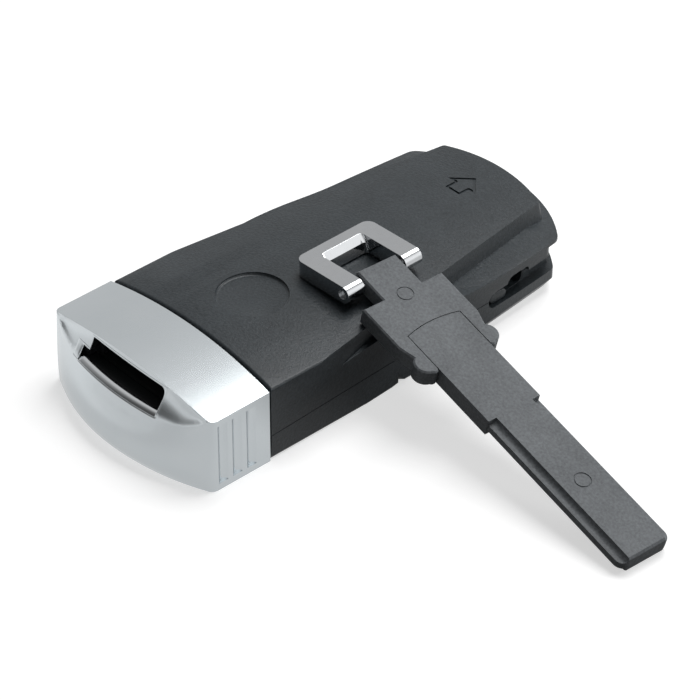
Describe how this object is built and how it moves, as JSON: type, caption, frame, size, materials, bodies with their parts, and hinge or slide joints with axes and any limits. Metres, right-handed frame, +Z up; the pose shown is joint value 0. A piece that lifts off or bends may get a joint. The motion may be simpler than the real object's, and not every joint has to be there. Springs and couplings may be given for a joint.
{
  "type": "car key remote",
  "caption": "Car key fob with satin silver end cap, black shells and buttons underneath, its emergency key pulled out and leaning on it with a chromed bail.",
  "frame": {"origin": "middle of the underside, on the bar between the first two buttons", "axes": "+X across the fob, towards the side that the emergency key lies on; +Y along it, towards the end that goes into the dashboard; +Z up, from the button face to the back face"},
  "size_m": [0.0929, 0.0873, 0.0185],
  "materials": {
    "silver_plating": "satin silver plating on plastic",
    "black_shell": "fine grained",
    "spring_steel": "drawn",
    "board": "solder mask",
    "chip": "moulded",
    "tinned_steel": "tinned",
    "coil": "moulded, wound",
    "mat_rubber": "matt",
    "switch": "moulded",
    "lamp_resin": "clear, milky",
    "cell_steel": "nickel plated",
    "key_steel": "sintered, fine grained",
    "button_rubber": "matt",
    "catch_plastic": "moulded",
    "bail_chrome": "polished"
  },
  "bodies": {
    "fob": {"end_cap": "silver_plating", "back_cover": "black_shell", "front_cover": "black_shell", "key_sleeve": "black_shell", "catch_spring": "spring_steel", "circuit_board": "board", "processor": "chip", "radio_chip": "chip", "crystal": "tinned_steel", "transponder_coil": "coil", "button_mat": "mat_rubber", "lock_switch": "switch", "unlock_switch": "switch", "boot_switch": "switch", "lamp": "lamp_resin", "light_pipe": "lamp_resin", "coin_cell": "cell_steel", "cell_contact": "tinned_steel", "cell_clip": "tinned_steel", "key_holder": "key_steel", "key_blade": "key_steel", "bail_pin": "spring_steel"},
    "lock_button": {"lock_button": "button_rubber"},
    "unlock_button": {"unlock_button": "button_rubber"},
    "boot_button": {"boot_button": "button_rubber"},
    "release_catch": {"release_catch": "catch_plastic"},
    "bail": {"bail": "bail_chrome"}
  },
  "joints": [
    {"name": "lock_button_press", "type": "slide", "parent": "fob", "child": "lock_button", "axis": [0, 0, 1], "range_m": [0, 0.0005], "stiffness_N_per_m": 1000},
    {"name": "unlock_button_press", "type": "slide", "parent": "fob", "child": "unlock_button", "axis": [0, 0, 1], "range_m": [0, 0.0005], "stiffness_N_per_m": 1000},
    {"name": "boot_button_press", "type": "slide", "parent": "fob", "child": "boot_button", "axis": [0, 0, 1], "range_m": [0, 0.0005], "stiffness_N_per_m": 1000},
    {"name": "catch_slide", "type": "slide", "parent": "fob", "child": "release_catch", "axis": [-1, 0, 0], "range_m": [0, 0.0007], "stiffness_N_per_m": 400, "deforming": ["catch_spring"]},
    {"name": "bail_hinge", "type": "hinge", "parent": "fob", "child": "bail", "pos_m": [0.0114, 0.0037, 0.0168], "axis": [-0.014, 0.9999, 0], "range_deg": [0, 155]}
  ]
}
